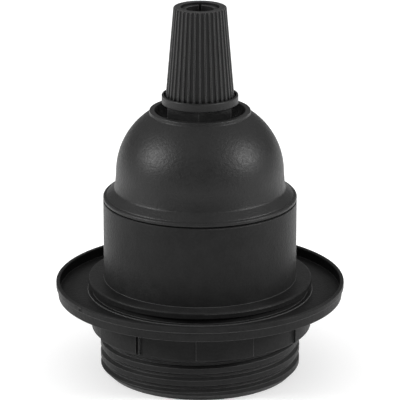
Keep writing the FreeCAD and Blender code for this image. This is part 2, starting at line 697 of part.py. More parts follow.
def terminal_block():
    """Moulded block that carries the terminals on top and the lamp contacts below."""
    body = new_body("terminal_block")
    block_r = f"{NECK_BORE} - block_gap"
    flange_r = f"{SHELL_BORE} - block_flange_gap"
    revolve(body, "block_wall", [
        ("0", "ledge_top"),
        (flange_r, "ledge_top"),
        (flange_r, NECK_BOTTOM),
        (block_r, NECK_BOTTOM),
        (block_r, "block_top - edge_round", "edge_round"),
        (f"{block_r} - edge_round", "block_top"),
        ("0", "block_top"),
    ])
    prism(body, "trough", "trough_floor", "block_top - trough_floor",
          box_outline("-trough_length / 2", "trough_length / 2",
                      "-trough_width / 2", "trough_width / 2"), cut=True)
    pocket = prism(
        body,
        "terminal_pocket",
        "terminal_floor",
        "block_top - terminal_floor",
        box_outline("terminal_x - terminal_length / 2 - terminal_gap",
                    "terminal_x + terminal_length / 2 + terminal_gap",
                    "-terminal_width / 2 - terminal_gap", "terminal_width / 2 + terminal_gap"),
        cut=True,
    )
    repeat(body, "terminal_pockets", pocket, 2)
    key_slot = prism(
        body,
        "key_slot",
        NECK_BOTTOM,
        f"block_top - ({NECK_BOTTOM})",
        box_outline("-key_width / 2 - key_gap", "key_width / 2 + key_gap",
                    f"{NECK_BORE} - key_height - key_gap", f"{NECK_BORE}"),
        cut=True,
    )
    repeat(body, "key_slots", key_slot, 2)
    prism(body, "centre_channel", "ledge_top", "channel_depth",
          box_outline("centre_rivet_x - centre_foot - contact_side_gap", "trough_length / 2",
                      f"-({HALF_CHANNEL})", HALF_CHANNEL), cut=True)
    for name, turn in (("side", None), ("second_side", "second_side_angle")):
        prism(body, f"{name}_channel", "ledge_top", "channel_depth",
              box_outline("side_rivet_x - side_foot - contact_side_gap", "chamber_r",
                          f"-({HALF_CHANNEL})", HALF_CHANNEL), cut=True, turn=turn)
    arc_strip(body, "link_channel", "ledge_top", LINK_TOP, "link_gap", "PartDesign::Groove")
    for name, side, turn in (
        ("centre", "centre", None),
        ("side", "side", None),
        ("second_side", "side", "second_side_angle"),
    ):
        hole = prism(body, f"{name}_rivet_hole", CHANNEL_ROOF, f"terminal_floor - ({CHANNEL_ROOF})",
                     circle=(f"{side}_rivet_x", "0", "rivet_r + rivet_gap"), cut=True, turn=turn)
    body.Tip = hole
    return body


def arc_strip(body, name, bottom, top, gap, kind):
    """A flat bar bent round the Z axis from one side contact to the other, to add or to cut."""
    margin = f"({gap}) / side_rivet_x * 60"
    inner = f"side_rivet_x - link_width / 2 - ({gap})"
    outer = f"side_rivet_x + link_width / 2 + ({gap})"
    corners = [(inner, bottom), (outer, bottom), (outer, top), (inner, top)]
    return revolve(body, name, corners, kind, turn=f"-link_overlap - {margin}",
                   angle=f"second_side_angle + 2 * (link_overlap + {margin})")


def neutral_link():
    """Bar that joins the two side contacts."""
    body = new_body("neutral_link")
    arc_strip(body, "bar", CHANNEL_ROOF, LINK_TOP, "0", "PartDesign::Revolution")
    for name, turn in (("side", None), ("second_side", "second_side_angle")):
        prism(body, f"{name}_hole", CHANNEL_ROOF, "link_thick",
              circle=("side_rivet_x", "0", "rivet_r + rivet_gap"), cut=True, turn=turn)
    return body


def rivet_hole(body, side, turn=None):
    """The hole in a contact's foot, with room for the foot to tilt on its rivet."""
    return prism(body, "rivet_hole", FOOT_BOTTOM, "contact_thick",
                 circle=(f"{side}_rivet_x", "0", "rivet_r + rivet_play"), cut=True, turn=turn)


def centre_contact():
    """Sprung strip that the lamp's centre button presses up."""
    body = new_body("centre_contact")
    low = f"{FOOT_TOP} - centre_drop"
    strip(body, "strip", [
        ("centre_rivet_x - centre_foot", FOOT_BOTTOM),
        ("centre_rivet_x + centre_foot", FOOT_BOTTOM),
        ("-contact_width / 2", f"{low} - contact_thick"),
        ("contact_width / 2", f"{low} - contact_thick"),
        ("contact_width / 2 + 3 * contact_thick", f"{low} + contact_thick / 2"),
        ("contact_width / 2 + 3 * contact_thick", f"{low} + 1.5 * contact_thick"),
        ("contact_width / 2 - contact_thick / 2", low),
        ("-contact_width / 2 + contact_thick / 2", low),
        ("centre_rivet_x + centre_foot + contact_thick / 2", FOOT_TOP),
        ("centre_rivet_x - centre_foot", FOOT_TOP),
    ], "contact_width")
    rivet_hole(body, "centre")
    return body


def side_contact(label, turn=None):
    """Sprung strip that bears on the side of the lamp's screw cap."""
    body = new_body(label)
    outer = "side_contact_r"
    inner = "side_contact_r - contact_thick"
    upright_end = "2 * side_bulge_z - side_tip_z"
    strip(body, "strip", [
        ("side_rivet_x - side_foot", FOOT_BOTTOM),
        (inner, FOOT_BOTTOM),
        (inner, upright_end),
        (f"{inner} - side_bulge", "side_bulge_z"),
        (inner, "side_tip_z"),
        (outer, "side_tip_z"),
        (f"{outer} - side_bulge", "side_bulge_z"),
        (outer, upright_end),
        (outer, FOOT_TOP),
        ("side_rivet_x - side_foot", FOOT_TOP),
    ], "contact_width", turn)
    rivet_hole(body, "side", turn)
    return body


def contact_rivet(label, place, turn=None):
    """Rivet that holds a contact's foot under the block."""
    body = new_body(label)
    head_top = f"{FOOT_BOTTOM} - contact_play"
    prism(body, "shank", head_top, f"terminal_floor - ({head_top})", circle=(place, "0", "rivet_r"),
          turn=turn)
    prism(body, "head", f"{head_top} - rivet_head_thick", "rivet_head_thick",
          circle=(place, "0", "rivet_head_r"), turn=turn)
    return body


def terminal(label, side):
    """Brass pillar with a hole for the wire and a threaded hole for its screw."""
    body = new_body(label)
    place = f"{side} * terminal_x"
    prism(body, "pillar", "terminal_floor", "terminal_top - terminal_floor",
          box_outline(f"{place} - terminal_length / 2", f"{place} + terminal_length / 2",
                      "-terminal_width / 2", "terminal_width / 2"))
    prism(body, "screw_hole", "wire_hole_z", "terminal_top - wire_hole_z",
          circle=(place, "0", "screw_r + screw_fit"), cut=True)
    wire = new_sketch(body, "wire_hole_outline", "YZ_Plane")
    draw_circle(wire, "0", "wire_hole_z", "wire_hole_r")
    hole = body.newObject("PartDesign::Pocket", "wire_hole")
    hole.Profile = wire
    hole.Midplane = True
    hole.setExpression("Length", bound("4 * terminal_x"))
    return body


def terminal_screw(label, side):
    """Cheese-headed screw that clamps the wire."""
    body = new_body(label)
    place = f"{side} * terminal_x"
    head_bottom = "terminal_top + screw_stand"
    prism(body, "shank", "wire_hole_z", f"{head_bottom} - wire_hole_z", circle=(place, "0", "screw_r"))
    prism(body, "head", head_bottom, "screw_head_thick", circle=(place, "0", "screw_head_r"))
    prism(body, "slot", f"{head_bottom} + screw_head_thick - screw_slot_depth", "screw_slot_depth",
          box_outline(f"{place} - screw_head_r", f"{place} + screw_head_r",
                      "-screw_slot_width / 2", "screw_slot_width / 2"), cut=True)
    return body


def build():
    return [
        outer_shell(),
        shade_ring(),
        cap_dome(),
        cord_grip_body(),
        cord_grip_collet(),
        cord_grip_nut(),
        lock_washer(),
        lock_nut(),
        terminal_block(),
        centre_contact(),
        side_contact("side_contact"),
        side_contact("second_side_contact", "second_side_angle"),
        neutral_link(),
        contact_rivet("centre_contact_rivet", "centre_rivet_x"),
        contact_rivet("side_contact_rivet", "side_rivet_x"),
        contact_rivet("second_side_contact_rivet", "side_rivet_x", "second_side_angle"),
        terminal("live_terminal", "-1"),
        terminal("neutral_terminal", "1"),
        terminal_screw("live_terminal_screw", "-1"),
        terminal_screw("neutral_terminal_screw", "1"),
    ]


def check(bodies):
    """Stop if any feature failed or any piece isn't one sound solid."""
    failed = [item.Label for item in document.Objects if {"Invalid", "Error"} & set(item.State)]
    if failed:
        raise RuntimeError(f"failed features: {failed}")
    for body in bodies:
        if body.Shape.isNull() or not body.Shape.isValid() or len(body.Shape.Solids) != 1:
            raise RuntimeError(f"{body.Label} isn't one sound solid")


def main():
    bodies = build()
    document.recompute()
    check(bodies)
    os.makedirs("parts", exist_ok=True)
    for body in bodies:
        body.Shape.exportStep(f"parts/{body.Label}.step")
        print(f"{body.Label}: {body.Shape.Volume:.1f} mm3")


main()
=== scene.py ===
import math

import bmesh
import bpy
from mathutils import Matrix, Vector


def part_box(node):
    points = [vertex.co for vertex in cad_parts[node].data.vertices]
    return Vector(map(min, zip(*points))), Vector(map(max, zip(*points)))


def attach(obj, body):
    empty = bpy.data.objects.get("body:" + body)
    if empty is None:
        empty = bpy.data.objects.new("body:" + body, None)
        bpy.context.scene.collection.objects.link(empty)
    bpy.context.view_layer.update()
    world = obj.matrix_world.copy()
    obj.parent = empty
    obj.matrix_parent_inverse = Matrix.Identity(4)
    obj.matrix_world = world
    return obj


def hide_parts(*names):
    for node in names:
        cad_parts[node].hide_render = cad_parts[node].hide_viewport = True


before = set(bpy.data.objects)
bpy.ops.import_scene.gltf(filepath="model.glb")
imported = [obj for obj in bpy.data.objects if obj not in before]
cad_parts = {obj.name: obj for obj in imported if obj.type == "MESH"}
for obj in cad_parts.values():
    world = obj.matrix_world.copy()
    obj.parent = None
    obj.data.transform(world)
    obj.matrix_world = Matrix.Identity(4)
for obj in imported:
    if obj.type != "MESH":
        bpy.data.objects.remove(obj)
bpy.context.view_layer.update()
CAP_LOW, CAP_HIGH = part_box("cap_dome")
SHELL_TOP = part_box("outer_shell")[1][2]

bl_info = {
    "name": "Lamp Holder",
    "version": (1, 0, 0),
    "blender": (4, 5, 0),
    "location": "View3D > Sidebar > Lamp Holder",
    "description": "Finishes, domed cap, threads and studio for a threaded lamp holder",
    "category": "Object",
}

MM = 0.001

MOULDINGS = {
    "outer_shell": "shell_black",
    "shade_ring": "ring_black",
    "cap_dome": "cap_black",
    "cord_grip_body": "grip_black",
    "cord_grip_collet": "cap_black",
    "cord_grip_nut": "nut_black",
}
METALS = {
    "brass": (
        "live_terminal",
        "neutral_terminal",
        "neutral_link",
        "centre_contact_rivet",
        "side_contact_rivet",
        "second_side_contact_rivet",
    ),
    "spring_bronze": ("centre_contact", "side_contact", "second_side_contact"),
    "zinc_steel": ("lock_washer", "lock_nut", "live_terminal_screw", "neutral_terminal_screw"),
}


def srgb(grey):
    """The linear colour of a neutral grey from 0 to 255."""
    level = (grey / 255) ** 2.2
    return (level, level, level, 1)


class Signal:
    """An output of a shader tree that takes part in ordinary arithmetic."""

    def __init__(self, shader, socket):
        self.shader = shader
        self.socket = socket

    def sibling(self, name):
        """Another output of the same node."""
        return Signal(self.shader, self.socket.node.outputs[name])

    def _math(self, operation, first, second):
        return self.shader.add("ShaderNodeMath", {"operation": operation}, {0: first, 1: second})

    def __add__(self, other):
        return self._math("ADD", self, other)

    def __radd__(self, other):
        return self._math("ADD", other, self)

    def __sub__(self, other):
        return self._math("SUBTRACT", self, other)

    def __rsub__(self, other):
        return self._math("SUBTRACT", other, self)

    def __mul__(self, other):
        return self._math("MULTIPLY", self, other)

    def __rmul__(self, other):
        return self._math("MULTIPLY", other, self)


class Shader:
    """A material's or the world's node tree, emptied and ready for its nodes."""

    def __init__(self, owner):
        owner.use_nodes = True
        self.tree = owner.node_tree
        self.tree.nodes.clear()

    def add(self, kind, settings=None, sockets=None, output=0):
        """A node of that kind, its settings first, then the values or links of its sockets."""
        node = self.tree.nodes.new(kind)
        for name, value in (settings or {}).items():
            setattr(node, name, value)
        for name, value in (sockets or {}).items():
            if isinstance(value, Signal):
                self.tree.links.new(value.socket, node.inputs[name])
            else:
                node.inputs[name].default_value = value
        return Signal(self, node.outputs[output])

    def finish(self, kind, surface):
        """The output node of the tree."""
        node = self.tree.nodes.new(kind)
        self.tree.links.new(surface.socket, node.inputs["Surface"])


def object_place(shader):
    """Where a point lies on its piece, in metres."""
    return shader.add("ShaderNodeTexCoord", output="Object")


def noise(shader, place, size, detail=2.0, roughness=0.5):
    """Soft random grey whose blotches are about that size in metres."""
    return shader.add(
        "ShaderNodeTexNoise",
        {"noise_dimensions": "3D"},
        {"Vector": place, "Scale": 1 / size, "Detail": detail, "Roughness": roughness},
    )


def spread(shader, value, low, high, start=0.3, end=0.7):
    """A value from start to end stretched over low to high. Noise lies mostly from 0.3 to 0.7."""
    return shader.add(
        "ShaderNodeMapRange",
        {"clamp": True},
        {"Value": value, "From Min": start, "From Max": end, "To Min": low, "To Max": high},
    )


def blend(shader, share, first, second):
    """The first colour passing into the second by a share from 0 to 1."""
    return shader.add(
        "ShaderNodeMix",
        {"data_type": "RGBA"},
        {"Factor": share, 6: first, 7: second},
        output=2,
    )


def painted_edge_mask(shader, rounded):
    """How far a point belongs to an edge, from where the rounded surface leaves the plain one; the
    mask of the grey painted along convex and concave edges.
    """
    plain = shader.add("ShaderNodeNewGeometry", output="Normal")
    agreement = shader.add(
        "ShaderNodeVectorMath",
        {"operation": "DOT_PRODUCT"},
        {0: rounded, 1: plain},
        output="Value",
    )
    return spread(shader, 1 - agreement, 0.0, 0.85, start=0.03, end=0.07)


def stud_thread(shader, place, radius, pitch):
    """Height of a screw thread, in metres, on what lies within a radius of the axis."""
    depth = 0.13 * pitch
    east = shader.add("ShaderNodeSeparateXYZ", {}, {"Vector": place}, output="X")
    north = east.sibling("Y")
    up = east.sibling("Z")
    reach = shader.add(
        "ShaderNodeMath", {"operation": "SQRT"}, {0: east * east + north * north}
    )
    within = shader.add("ShaderNodeMath", {"operation": "LESS_THAN"}, {0: reach, 1: radius})
    turn = shader.add("ShaderNodeMath", {"operation": "ARCTAN2"}, {0: north, 1: east})
    wave = shader.add("ShaderNodeMath", {"operation": "SINE"}, {0: up * (math.tau / pitch) - turn})
    return wave * within * depth


def moulded_plastic(name, grey, roughness, sheen, finish, relief, stud=None):
    """Moulded thermoplastic with a spark-eroded skin, mottled gloss, softened edges and a mid grey
    painted along its edges, which is a painted highlight on the black mouldings.
    """
    contrast = 0.12
    # Grey painted along every edge: a painted highlight on the black mouldings; on the pale terminal
    # block it paints the edges darker.
    painted_edge_grey = 92
    skin_depth = 0.05 * MM
    material = bpy.data.materials.new(name)
    shader = Shader(material)
    place = object_place(shader)
    fine = noise(shader, place, finish.grain, detail=3.0, roughness=0.6)
    mottle = noise(shader, place, 2.4 * finish.grain, roughness=0.6)
    cloud = noise(shader, place, 12 * finish.grain, roughness=0.55)
    flow = noise(shader, place, 14 * MM, detail=1.0)
    tint = spread(shader, (cloud + mottle) * 0.5 + (flow - 0.5) * 0.4, 0.0, 1.0)
    colour = blend(shader, tint, srgb(grey * (1 - contrast)), srgb(grey * (1 + contrast)))
    rounded = shader.add("ShaderNodeBevel", {"samples": 6}, {"Radius": finish.edge})
    # Painted edge line: the colour passes into the painted edge grey where the surface rounds off,
    # in place of the light lines that the edges would catch.
    colour = blend(shader, painted_edge_mask(shader, rounded), colour, srgb(painted_edge_grey))
    bump = shader.add(
        "ShaderNodeBump",
        {},
        {
            "Strength": relief,
            "Distance": skin_depth,
            "Height": fine + mottle * 2.4,
            "Normal": rounded,
        },
    )
    if stud:
        thread = stud_thread(shader, place, *stud)
        bump = shader.add(
            "ShaderNodeBump",
            {},
            {"Strength": 1.0, "Distance": 1.0, "Height": thread, "Normal": bump},
        )
    surface = shader.add(
        "ShaderNodeBsdfPrincipled",
        {},
        {
            "Base Color": colour,
            "Roughness": spread(shader, mottle, roughness - 0.05, roughness + 0.06),
            "Normal": bump,
            "IOR": 1.49,
            "Specular IOR Level": sheen,
        },
    )
    shader.finish("ShaderNodeOutputMaterial", surface)
    return material


def bright_metal(name, colour, roughness, relief):
    """Stamped or turned metal with fine drawing marks and a dulled film."""
    mark_stretch = 0.12
    mark_depth = 0.01 * MM
    material = bpy.data.materials.new(name)
    shader = Shader(material)
    place = object_place(shader)
    drawn = shader.add("ShaderNodeMapping", {}, {"Vector": place, "Scale": (1, 1, mark_stretch)})
    marks = noise(shader, drawn, 0.12 * MM, detail=3.0, roughness=0.6)
    film = noise(shader, place, 1.6 * MM)
    dulled = tuple(0.62 * part for part in colour[:3]) + (1,)
    shade = blend(shader, spread(shader, film, 0.0, 0.7), colour, dulled)
    bump = shader.add(
        "ShaderNodeBump", {}, {"Strength": relief, "Distance": mark_depth, "Height": marks}
    )
    surface = shader.add(
        "ShaderNodeBsdfPrincipled",
        {},
        {
            "Base Color": shade,
            "Metallic": 1.0,
            "Roughness": spread(shader, film, roughness, roughness + 0.14),
            "Normal": bump,
        },
    )
    shader.finish("ShaderNodeOutputMaterial", surface)
    return material


def dress(node, material):
    """Gives a CAD node its finish."""
    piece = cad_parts[node]
    if not piece.material_slots:
        piece.data.materials.append(None)
    for slot in piece.material_slots:
        slot.link = "OBJECT"
        slot.material = material


def keep_mesh(name, build, material, body):
    """A new piece from a finished bmesh, at the origin, riding on its body."""
    merge = 0.001 * MM
    crease = math.radians(35)
    mesh = bpy.data.meshes.new(name)
    bmesh.ops.remove_doubles(build, verts=build.verts, dist=merge)
    bmesh.ops.recalc_face_normals(build, faces=build.faces)
    build.to_mesh(mesh)
    build.free()
    for face in mesh.polygons:
        face.use_smooth = True
    mesh.set_sharp_from_angle(angle=crease)
    mesh.materials.append(material)
    piece = bpy.data.objects.new(name, mesh)
    bpy.context.scene.collection.objects.link(piece)
    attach(piece, body)
    return piece


def arc(middle_r, middle_z, radius, first, last, steps):
    """Points of an arc in a profile, from one angle to another over the horizontal."""
    points = []
    for step in range(steps + 1):
        angle = first + (last - first) * step / steps
        points.append((middle_r + radius * math.cos(angle), middle_z + radius * math.sin(angle)))
    return points


def turned(profile, steps, easing):
    """A ring-shaped solid turned from a closed profile, its corners eased."""
    corner = math.radians(24)
    build = bmesh.new()
    points = [build.verts.new((radius, 0, height)) for radius, height in profile]
    for first, second in zip(points, points[1:] + points[:1]):
        build.edges.new((first, second))
    bmesh.ops.spin(
        build,
        geom=build.verts[:] + build.edges[:],
        cent=(0, 0, 0),
        axis=(0, 0, 1),
        angle=math.tau,
        steps=steps,
        use_merge=True,
        use_duplicate=False,
    )
    bmesh.ops.recalc_face_normals(build, faces=build.faces)
    bmesh.ops.bevel(
        build,
        geom=[line for line in build.edges if line.calc_face_angle(0.0) > corner],
        offset=easing,
        offset_type="OFFSET",
        segments=3,
        profile=0.5,
        affect="EDGES",
        clamp_overlap=True,
        material=-1,
    )
    return build


def helical_ridge(radius, height, width, pitch, start, turns, inward):
    """A round thread ridge swept along a helix, its root sunk in the wall and its ends closed."""
    root = 0.02 * MM
    profile_steps = 12
    steps = round(72 * turns)
    side = -1 if inward else 1
    build = bmesh.new()
    profile = []
    for step in range(profile_steps + 1):
        angle = math.pi * step / profile_steps
        reach = radius + side * (height * math.sin(angle) - root)
        profile.append(build.verts.new((reach, 0, start - 0.5 * width * math.cos(angle))))
    for first, second in zip(profile, profile[1:] + profile[:1]):
        build.edges.new((first, second))
    bmesh.ops.spin(
        build,
        geom=build.verts[:] + build.edges[:],
        cent=(0, 0, 0),
        axis=(0, 0, 1),
        dvec=(0, 0, pitch * turns / steps),
        angle=math.tau * turns,
        steps=steps,
        use_duplicate=False,
    )
    bmesh.ops.holes_fill(build, edges=build.edges[:], sides=0)
    return build


class LampHolderFinish(bpy.types.PropertyGroup):
    """Colours and gloss of the mouldings."""

    shell_grey: bpy.props.FloatProperty(
        name="Shell grey", description="Grey of the outer shell, 0 to 255", default=36.0,
        min=0.0, max=255.0,
    )
    cap_grey: bpy.props.FloatProperty(
        name="Cap grey", description="Grey of the domed cap and the cord grip, 0 to 255",
        default=30.0, min=0.0, max=255.0,
    )
    ring_grey: bpy.props.FloatProperty(
        name="Ring grey", description="Grey of the shade ring, 0 to 255", default=36.0,
        min=0.0, max=255.0,
    )
    nut_grey: bpy.props.FloatProperty(
        name="Nut grey", description="Grey of the cord grip nut, 0 to 255", default=31.0,
        min=0.0, max=255.0,
    )
    block_grey: bpy.props.FloatProperty(
        name="Block grey", description="Grey of the pale terminal block, 0 to 255",
        default=196.0, min=0.0, max=255.0,
    )
    gloss: bpy.props.FloatProperty(
        name="Roughness", description="Roughness of the black mouldings", default=0.44,
        min=0.0, max=1.0, subtype="FACTOR",
    )
    sheen: bpy.props.FloatProperty(
        name="Sheen", description="Strength of the reflection off the cap", default=0.28,
        min=0.0, max=1.0, subtype="FACTOR",
    )
    grain: bpy.props.FloatProperty(
        name="Grain", description="Size of the spark-eroded grain", default=0.22 * MM,
        unit="LENGTH",
    )
    edge: bpy.props.FloatProperty(
        name="Edge", description="Radius that moulded edges look rounded to", default=0.16 * MM,
        unit="LENGTH",
    )


class LampHolderThreads(bpy.types.PropertyGroup):
    """Sizes of the threads."""

    lamp_radius: bpy.props.FloatProperty(
        name="Lamp bore", description="Radius of the sleeve's bore", default=13.3 * MM,
        unit="LENGTH",
    )
    lamp_pitch: bpy.props.FloatProperty(
        name="Lamp pitch", description="Pitch of the lamp thread", default=3.62 * MM,
        unit="LENGTH",
    )
    lamp_height: bpy.props.FloatProperty(
        name="Lamp ridge", description="Height of the lamp thread's ridge", default=0.95 * MM,
        unit="LENGTH",
    )
    lamp_width: bpy.props.FloatProperty(
        name="Lamp ridge width", description="Width of the lamp thread's ridge",
        default=2.4 * MM, unit="LENGTH",
    )
    lamp_start: bpy.props.FloatProperty(
        name="Lamp start", description="Height at which the lamp thread starts",
        default=6.7 * MM, unit="LENGTH",
    )
    lamp_length: bpy.props.FloatProperty(
        name="Lamp length", description="Length of the lamp thread", default=9.2 * MM,
        unit="LENGTH",
    )
    cap_pitch: bpy.props.FloatProperty(
        name="Cap pitch", description="Pitch of the thread on the cap's neck", default=2.0 * MM,
        unit="LENGTH",
    )
    cap_height: bpy.props.FloatProperty(
        name="Cap ridge", description="Height of that thread's ridge", default=0.25 * MM,
        unit="LENGTH",
    )
    cap_width: bpy.props.FloatProperty(
        name="Cap ridge width", description="Width of that thread's ridge", default=1.1 * MM,
        unit="LENGTH",
    )
    cap_start: bpy.props.FloatProperty(
        name="Cap start", description="Height at which that thread starts", default=27.0 * MM,
        unit="LENGTH",
    )
    cap_length: bpy.props.FloatProperty(
        name="Cap length", description="Length of that thread", default=7.6 * MM,
        unit="LENGTH",
    )
    stud_radius: bpy.props.FloatProperty(
        name="Stem radius", description="Radius within which the cord grip's stem is threaded",
        default=5.08 * MM, unit="LENGTH",
    )
    stud_pitch: bpy.props.FloatProperty(
        name="Stem pitch", description="Pitch of the thread on the cord grip's stem",
        default=1.0 * MM, unit="LENGTH",
    )


class LampHolderCap(bpy.types.PropertyGroup):
    """Sizes of the domed cap. Heights are over the skirt's foot, radii from the axis."""

    neck: bpy.props.FloatProperty(
        name="Neck", description="Radius of the neck that screws into the shell",
        default=17.2 * MM, unit="LENGTH",
    )
    bore: bpy.props.FloatProperty(
        name="Bore", description="Radius of the neck's bore", default=15.3 * MM, unit="LENGTH",
    )
    slope_foot: bpy.props.FloatProperty(
        name="Shoulder radius", description="Radius of the shoulder's corner over the shell",
        default=CAP_HIGH[0], unit="LENGTH",
    )
    slope_top: bpy.props.FloatProperty(
        name="Dome foot", description="Radius at which the shoulder meets the dome",
        default=17.0 * MM, unit="LENGTH",
    )
    slope_height: bpy.props.FloatProperty(
        name="Dome foot height", description="Height at which the shoulder meets the dome",
        default=37.9 * MM, unit="LENGTH",
    )
    dome: bpy.props.FloatProperty(
        name="Dome", description="Radius of the dome's outline", default=14.12 * MM,
        unit="LENGTH",
    )
    dome_middle: bpy.props.FloatProperty(
        name="Dome middle", description="Distance of that outline's centre from the axis",
        default=2.5 * MM, unit="LENGTH",
    )
    dome_height: bpy.props.FloatProperty(
        name="Dome height", description="Height of that outline's centre", default=41.2 * MM,
        unit="LENGTH",
    )
    wall: bpy.props.FloatProperty(
        name="Wall", description="Thickness of the dome's wall", default=1.8 * MM,
        unit="LENGTH",
    )
    lip: bpy.props.FloatProperty(
        name="Lip", description="Outer radius of the lip", default=9.95 * MM, unit="LENGTH",
    )
    well: bpy.props.FloatProperty(
        name="Well", description="Radius of the well inside the lip", default=8.93 * MM,
        unit="LENGTH",
    )
    well_foot: bpy.props.FloatProperty(
        name="Well foot", description="Radius of the well at its floor", default=7.75 * MM,
        unit="LENGTH",
    )
    well_floor: bpy.props.FloatProperty(
        name="Well floor", description="Height of the well's floor", default=51.0 * MM,
        unit="LENGTH",
    )
    cord_hole: bpy.props.FloatProperty(
        name="Cord hole", description="Radius of the hole for the cord grip", default=5.15 * MM,
        unit="LENGTH",
    )
    easing: bpy.props.FloatProperty(
        name="Easing", description="Width of the bevel on the cap's corners", default=0.12 * MM,
        unit="LENGTH",
    )


class LampHolderStage(bpy.types.PropertyGroup):
    """Floor, lamps and camera."""

    floor_grey: bpy.props.FloatProperty(
        name="Floor", description="Brightness of the floor", default=0.84, min=0.0, max=1.0,
        subtype="FACTOR",
    )
    glow: bpy.props.FloatProperty(
        name="Floor glow", description="White that the camera sees added to the floor",
        default=0.3, min=0.0, max=1.0, subtype="FACTOR",
    )
    walls: bpy.props.FloatProperty(
        name="Walls", description="Brightness of the room at the height of the object",
        default=0.18, min=0.0,
    )
    ceiling: bpy.props.FloatProperty(
        name="Ceiling", description="Brightness of the room overhead", default=0.75, min=0.0,
    )
    key: bpy.props.FloatProperty(
        name="Softbox", description="Brightness of the right softbox", default=27.0, min=0.0,
    )
    left_share: bpy.props.FloatProperty(
        name="Left share", description="Brightness of the left softbox over the right one's",
        default=1.06, min=0.0,
    )
    softbox: bpy.props.FloatProperty(
        name="Softbox width", description="Width of each square softbox", default=0.3,
        unit="LENGTH",
    )
    softbox_side: bpy.props.FloatProperty(
        name="Softbox side", description="Angle of each softbox to the side of the front",
        default=math.radians(75), subtype="ANGLE",
    )
    softbox_rise: bpy.props.FloatProperty(
        name="Softbox rise", description="Angle of each softbox over the horizon",
        default=math.radians(28), subtype="ANGLE",
    )
    softbox_reach: bpy.props.FloatProperty(
        name="Softbox reach", description="Distance of each softbox from the object",
        default=1.0, unit="LENGTH",
    )
    lens: bpy.props.FloatProperty(
        name="Lens", description="Focal length of the camera in millimetres", default=252.7,
        min=1.0,
    )
    pitch: bpy.props.FloatProperty(
        name="Camera pitch", description="Angle at which the camera looks down",
        default=math.radians(17.85), subtype="ANGLE",
    )
    distance: bpy.props.FloatProperty(
        name="Camera distance", description="Distance of the camera from what it looks at",
        default=0.557014, unit="LENGTH",
    )
    aim: bpy.props.FloatProperty(
        name="Camera aim", description="Height on the axis that the camera looks at",
        default=35.161 * MM, unit="LENGTH",
    )


GROUPS = {
    "lamp_holder_finish": LampHolderFinish,
    "lamp_holder_threads": LampHolderThreads,
    "lamp_holder_cap": LampHolderCap,
    "lamp_holder_stage": LampHolderStage,
}


class LAMPHOLDER_OT_mouldings(bpy.types.Operator):
    """Gives the six black mouldings their skins"""

    bl_idname = "lamp_holder.mouldings"
    bl_label = "Black mouldings"

    def execute(self, context):
        finish = context.scene.lamp_holder_finish
        threads = context.scene.lamp_holder_threads
        stud = (threads.stud_radius, threads.stud_pitch)
        # Each skin has its grey, its share of the cap's sheen and the thread that it shows.
        kinds = {
            "shell_black": (finish.shell_grey, 0.4, None),
            "ring_black": (finish.ring_grey, 0.3, None),
            "cap_black": (finish.cap_grey, 1.0, None),
            "grip_black": (finish.cap_grey, 1.0, stud),
            "nut_black": (finish.nut_grey, 1.0, None),
        }
        skins = {}
        for name, (grey, share, thread) in kinds.items():
            sheen = finish.sheen * share
            skins[name] = moulded_plastic(
                name, grey, finish.gloss, sheen, finish, relief=0.5, stud=thread
            )
        for node, skin in MOULDINGS.items():
            dress(node, skins[skin])
        return {"FINISHED"}


class LAMPHOLDER_OT_metals(bpy.types.Operator):
    """Gives the contacts, terminals, rivets and screws their metals"""

    bl_idname = "lamp_holder.metals"
    bl_label = "Metal parts"

    def execute(self, context):
        # Each metal has its colour, its roughness and the strength of its drawing marks.
        kinds = {
            "brass": ((0.62, 0.42, 0.16, 1), 0.3, 0.35),
            "spring_bronze": ((0.58, 0.33, 0.16, 1), 0.28, 0.3),
            "zinc_steel": ((0.55, 0.57, 0.58, 1), 0.34, 0.4),
        }
        for name, (colour, roughness, relief) in kinds.items():
            metal = bright_metal(name, colour, roughness, relief)
            for node in METALS[name]:
                dress(node, metal)
        return {"FINISHED"}


class LAMPHOLDER_OT_block(bpy.types.Operator):
    """Gives the terminal block its pale heat-proof plastic"""

    bl_idname = "lamp_holder.block"
    bl_label = "Terminal block"

    def execute(self, context):
        finish = context.scene.lamp_holder_finish
        # The block's skin carries the same painted edge grey, which on this pale plastic paints its
        # edges darker.
        skin = moulded_plastic(
            "block_plastic", finish.block_grey, roughness=0.55, sheen=0.5, finish=finish, relief=0.35
        )
        dress("terminal_block", skin)
        return {"FINISHED"}


class LAMPHOLDER_OT_lamp_thread(bpy.types.Operator):
    """Winds the round lamp thread inside the socket sleeve"""

    bl_idname = "lamp_holder.lamp_thread"
    bl_label = "Lamp thread"

    def execute(self, context):
        threads = context.scene.lamp_holder_threads
        build = helical_ridge(
            threads.lamp_radius,
            threads.lamp_height,
            threads.lamp_width,
            threads.lamp_pitch,
            threads.lamp_start,
            (threads.lamp_length - threads.lamp_height) / threads.lamp_pitch,
            inward=True,
        )
        keep_mesh("lamp_thread", build, bpy.data.materials["shell_black"], "shell")
        return {"FINISHED"}


